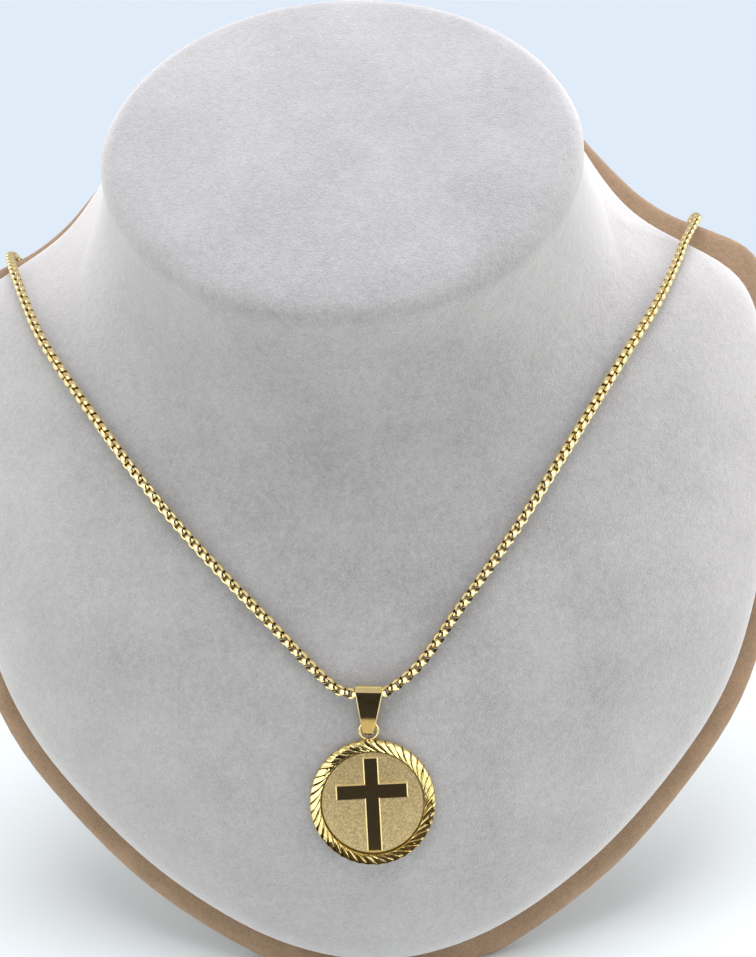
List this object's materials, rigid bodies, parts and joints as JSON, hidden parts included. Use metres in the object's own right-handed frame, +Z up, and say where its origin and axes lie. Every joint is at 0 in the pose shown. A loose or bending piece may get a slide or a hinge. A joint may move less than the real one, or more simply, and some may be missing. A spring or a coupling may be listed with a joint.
{
  "type": "cross necklace on neck bust",
  "caption": "Round medallion with a raised cross and a slant-cut rim, on a bail and a round box chain, laid over a leaning velvet neck bust with a suede back board and an easel leg.",
  "frame": {"origin": "middle of the bounding box on the surface that the bust stands on", "axes": "+Z up, -Y to the front of the bust, +X to the right as seen from the front"},
  "size_m": [0.207, 0.1125, 0.2086],
  "materials": {
    "velvet": "short pile velvet",
    "suede": "matt suede",
    "gold": "polished gold colour",
    "satin_gold": "satin gold colour"
  },
  "bodies": {
    "root": {"bust_form": "velvet", "back_board": "suede", "easel_leg": "suede", "chain": "gold", "clasp": "gold", "bail": "gold", "medallion_frame": "gold", "medallion_disc": "satin_gold"}
  },
  "joints": []
}
